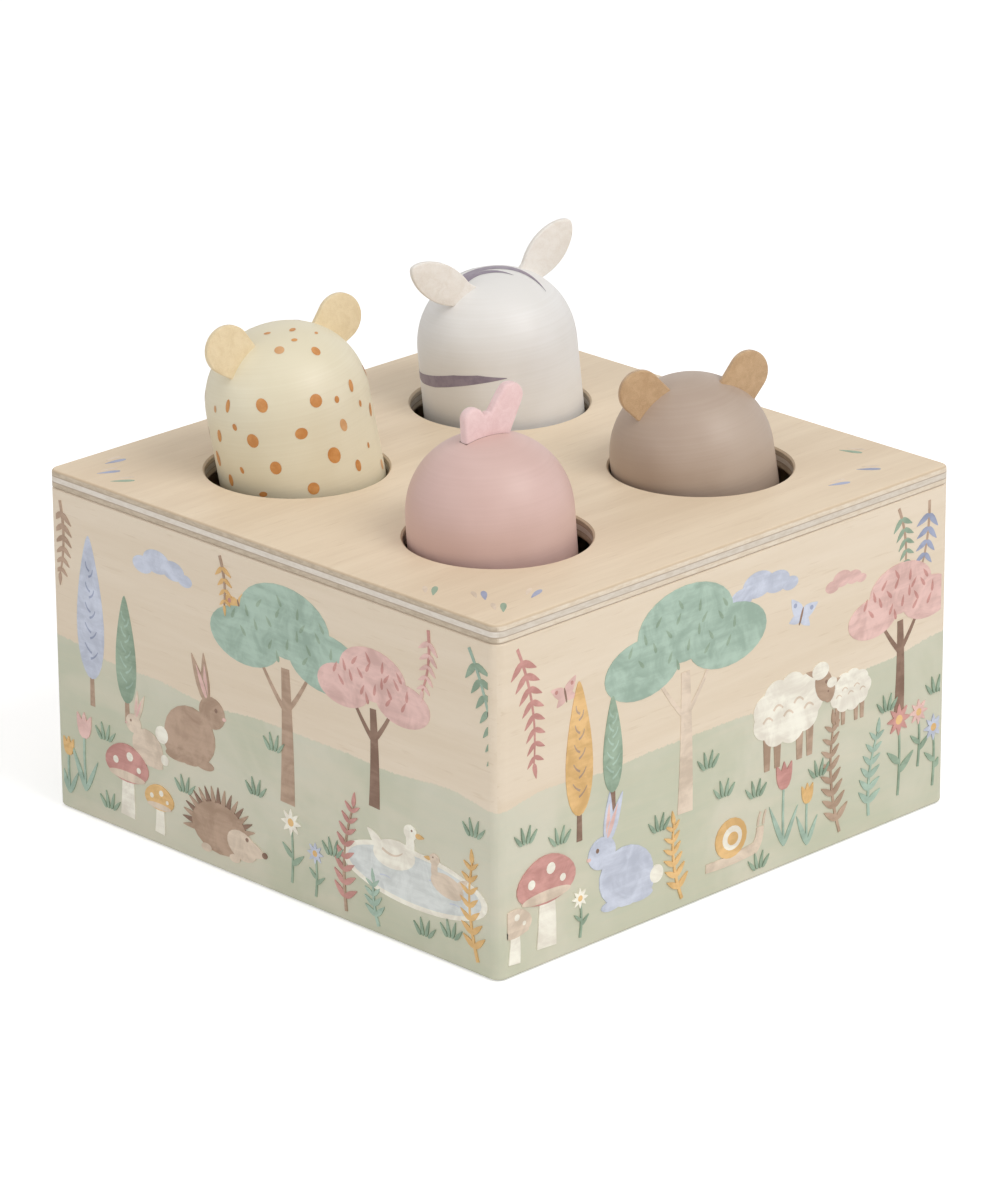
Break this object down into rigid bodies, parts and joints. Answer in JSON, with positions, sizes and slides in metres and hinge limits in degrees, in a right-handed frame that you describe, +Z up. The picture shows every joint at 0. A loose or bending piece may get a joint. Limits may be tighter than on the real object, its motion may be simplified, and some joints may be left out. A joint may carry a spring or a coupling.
{
  "type": "pop up animal toy",
  "caption": "Square plywood box toy with turned wooden animals on coil springs that pop back up through round holes in its top when pressed",
  "frame": {"origin": "centre of the box's underside", "axes": "+Z up, -Y towards the front panel, +X to the right as seen from the front panel"},
  "size_m": [0.14, 0.14, 0.1186],
  "materials": {
    "plywood": "sanded birch plywood, clear satin lacquer",
    "printed_plywood": "birch plywood with a printed meadow scene under clear matt lacquer",
    "beech": "plain turned or sawn beech",
    "screw_steel": "zinc plated steel",
    "spring_steel": "drawn spring wire",
    "leopard_paint": "turned beech in pale cream satin paint with brown spots",
    "zebra_paint": "turned beech in off-white satin paint with grey-violet stripes",
    "bear_paint": "turned beech in taupe satin paint",
    "bird_paint": "turned beech in dusty pink satin paint",
    "leopard_felt": "cream wool felt, cut from sheet",
    "zebra_felt": "off-white wool felt, cut from sheet",
    "bear_felt": "tan wool felt, cut from sheet",
    "bird_felt": "light pink wool felt, cut from sheet"
  },
  "bodies": {
    "box": {"top_plate": "plywood", "front_panel": "printed_plywood", "back_panel": "printed_plywood", "left_panel": "printed_plywood", "right_panel": "printed_plywood", "base_panel": "plywood", "corner_blocks": "beech", "base_screws": "screw_steel", "seat_screws": "screw_steel", "leopard_seat": "beech", "zebra_seat": "beech", "bear_seat": "beech", "bird_seat": "beech"},
    "leopard_spring": {"leopard_spring": "spring_steel"},
    "leopard": {"leopard_body": "leopard_paint", "leopard_left_ear": "leopard_felt", "leopard_right_ear": "leopard_felt", "leopard_foot": "beech", "leopard_foot_screw": "screw_steel"},
    "zebra_spring": {"zebra_spring": "spring_steel"},
    "zebra": {"zebra_body": "zebra_paint", "zebra_left_ear": "zebra_felt", "zebra_right_ear": "zebra_felt", "zebra_foot": "beech", "zebra_foot_screw": "screw_steel"},
    "bear_spring": {"bear_spring": "spring_steel"},
    "bear": {"bear_body": "bear_paint", "bear_left_ear": "bear_felt", "bear_right_ear": "bear_felt", "bear_foot": "beech", "bear_foot_screw": "screw_steel"},
    "bird_spring": {"bird_spring": "spring_steel"},
    "bird": {"bird_body": "bird_paint", "bird_comb": "bird_felt", "bird_foot": "beech", "bird_foot_screw": "screw_steel"}
  },
  "joints": [
    {"name": "leopard_press", "type": "slide", "parent": "box", "child": "leopard_spring", "axis": [0.1167, -0.1167, -0.9863], "range_m": [-0.0025, 0.022], "stiffness_N_per_m": 300, "springref_m": -0.002, "deforming": ["leopard_spring"]},
    {"name": "leopard_rock", "type": "hinge", "parent": "leopard_spring", "child": "leopard", "pos_m": [-0.03209, 0.03209, 0.09133], "axis": [0.7071, 0.7071, 0], "range_deg": [0, 4], "stiffness_Nm_per_rad": 0.1},
    {"name": "zebra_press", "type": "slide", "parent": "box", "child": "zebra_spring", "axis": [0.0629, -0.0629, -0.996], "range_m": [-0.0025, 0.022], "stiffness_N_per_m": 300, "springref_m": -0.002, "deforming": ["zebra_spring"]},
    {"name": "zebra_rock", "type": "hinge", "parent": "zebra_spring", "child": "zebra", "pos_m": [0.03099, 0.03151, 0.09145], "axis": [0.7071, 0.7071, 0], "range_deg": [-1.8, 4], "stiffness_Nm_per_rad": 0.1},
    {"name": "bear_press", "type": "slide", "parent": "box", "child": "bear_spring", "axis": [0.0923, -0.0923, -0.9914], "range_m": [-0.0025, 0.013], "stiffness_N_per_m": 300, "springref_m": -0.002, "deforming": ["bear_spring"]},
    {"name": "bear_rock", "type": "hinge", "parent": "bear_spring", "child": "bear", "pos_m": [0.02901, -0.02901, 0.0914], "axis": [0.7071, 0.7071, 0], "range_deg": [-4, 0.8], "stiffness_Nm_per_rad": 0.1},
    {"name": "bird_press", "type": "slide", "parent": "box", "child": "bird_spring", "axis": [0.0407, -0.0407, -0.9983], "range_m": [-0.0025, 0.018], "stiffness_N_per_m": 300, "springref_m": -0.002, "deforming": ["bird_spring"]},
    {"name": "bird_rock", "type": "hinge", "parent": "bird_spring", "child": "bird", "pos_m": [-0.03266, -0.02984, 0.09148], "axis": [0.7071, 0.7071, 0], "range_deg": [-4, 2], "stiffness_Nm_per_rad": 0.1}
  ]
}
